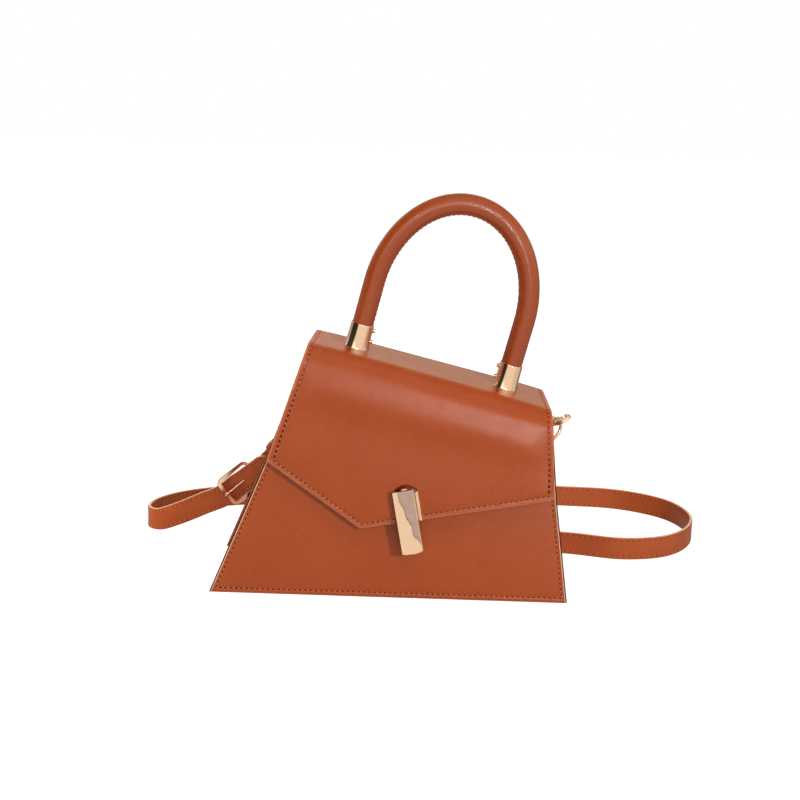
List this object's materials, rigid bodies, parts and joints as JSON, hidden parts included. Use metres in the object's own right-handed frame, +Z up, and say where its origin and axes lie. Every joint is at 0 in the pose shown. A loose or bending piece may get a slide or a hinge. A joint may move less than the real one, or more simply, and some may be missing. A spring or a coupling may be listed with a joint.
{
  "type": "crossbody bag",
  "caption": "Small structured trapezoid leather crossbody bag with a slanted fold-over flap, arched top handle, metal hasp and a detachable buckled shoulder strap.",
  "frame": {"origin": "centre of the base on the floor", "axes": "+Z up; the front with the flap and hasp faces -Y; +X is the viewer's right"},
  "size_m": [0.3996, 0.231, 0.2551],
  "materials": {
    "leather": "smooth, softly polished tan",
    "lining_cloth": "woven cotton twill",
    "gold_metal": "polished pale gold plating",
    "core": "foamed cord"
  },
  "bodies": {
    "bag": {"front_panel": "leather", "back_panel": "leather", "gusset_left": "leather", "gusset_right": "leather", "base_panel": "leather", "lining": "lining_cloth", "inner_pocket": "lining_cloth", "snap_socket": "gold_metal", "tab_left": "leather", "tab_right": "leather", "tab_rivet_left": "gold_metal", "tab_rivet_right": "gold_metal", "buckle_frame": "gold_metal", "strap_short": "leather", "strap_keeper": "leather", "strap_long": "leather", "strap_rivet": "gold_metal"},
    "flap": {"flap_leather": "leather", "flap_facing": "lining_cloth", "snap_stud": "gold_metal", "handle_sleeve": "leather", "handle_core": "core", "ferrule_left": "gold_metal", "ferrule_right": "gold_metal", "ferrule_screw_left_lower": "gold_metal", "ferrule_screw_left_upper": "gold_metal", "ferrule_screw_right_lower": "gold_metal", "ferrule_screw_right_upper": "gold_metal", "handle_bolt_left": "gold_metal", "handle_bolt_right": "gold_metal", "handle_washer_left": "gold_metal", "handle_washer_right": "gold_metal", "hasp_block": "gold_metal", "hasp_plate": "gold_metal", "hasp_backing": "gold_metal", "hasp_nut_upper": "gold_metal", "hasp_nut_lower": "gold_metal"},
    "left_ring": {"ring_left": "gold_metal"},
    "right_ring": {"ring_right": "gold_metal", "hook_body": "gold_metal"},
    "hook_gate": {"hook_gate": "gold_metal"},
    "buckle_prong": {"buckle_prong": "gold_metal"}
  },
  "joints": [
    {"name": "flap_hinge", "type": "hinge", "parent": "bag", "child": "flap", "pos_m": [-0.0536, 0.027, 0.1564], "axis": [-0.9714, -0.0309, 0.2356], "range_deg": [0, 115]},
    {"name": "left_ring_swing", "type": "hinge", "parent": "bag", "child": "left_ring", "pos_m": [-0.0647, 0.04045, 0.08446], "axis": [0, 0.13, -0.9915], "range_deg": [-8, 30], "deforming": ["strap_short"]},
    {"name": "right_ring_swing", "type": "hinge", "parent": "bag", "child": "right_ring", "pos_m": [0.10392, 0.03947, 0.09196], "axis": [0, -0.13, 0.9915], "range_deg": [-10, 30], "deforming": ["strap_long"]},
    {"name": "hook_gate_spring", "type": "hinge", "parent": "right_ring", "child": "hook_gate", "pos_m": [0.11305, 0.0513, 0.09711], "axis": [0.4874, 0, -0.8732], "range_deg": [0, 22], "stiffness_Nm_per_rad": 0.02},
    {"name": "buckle_prong_hinge", "type": "hinge", "parent": "bag", "child": "buckle_prong", "pos_m": [-0.09692, 0.04878, 0.05354], "axis": [-0.637, -0.0004, 0.7708], "range_deg": [0, 65]}
  ]
}
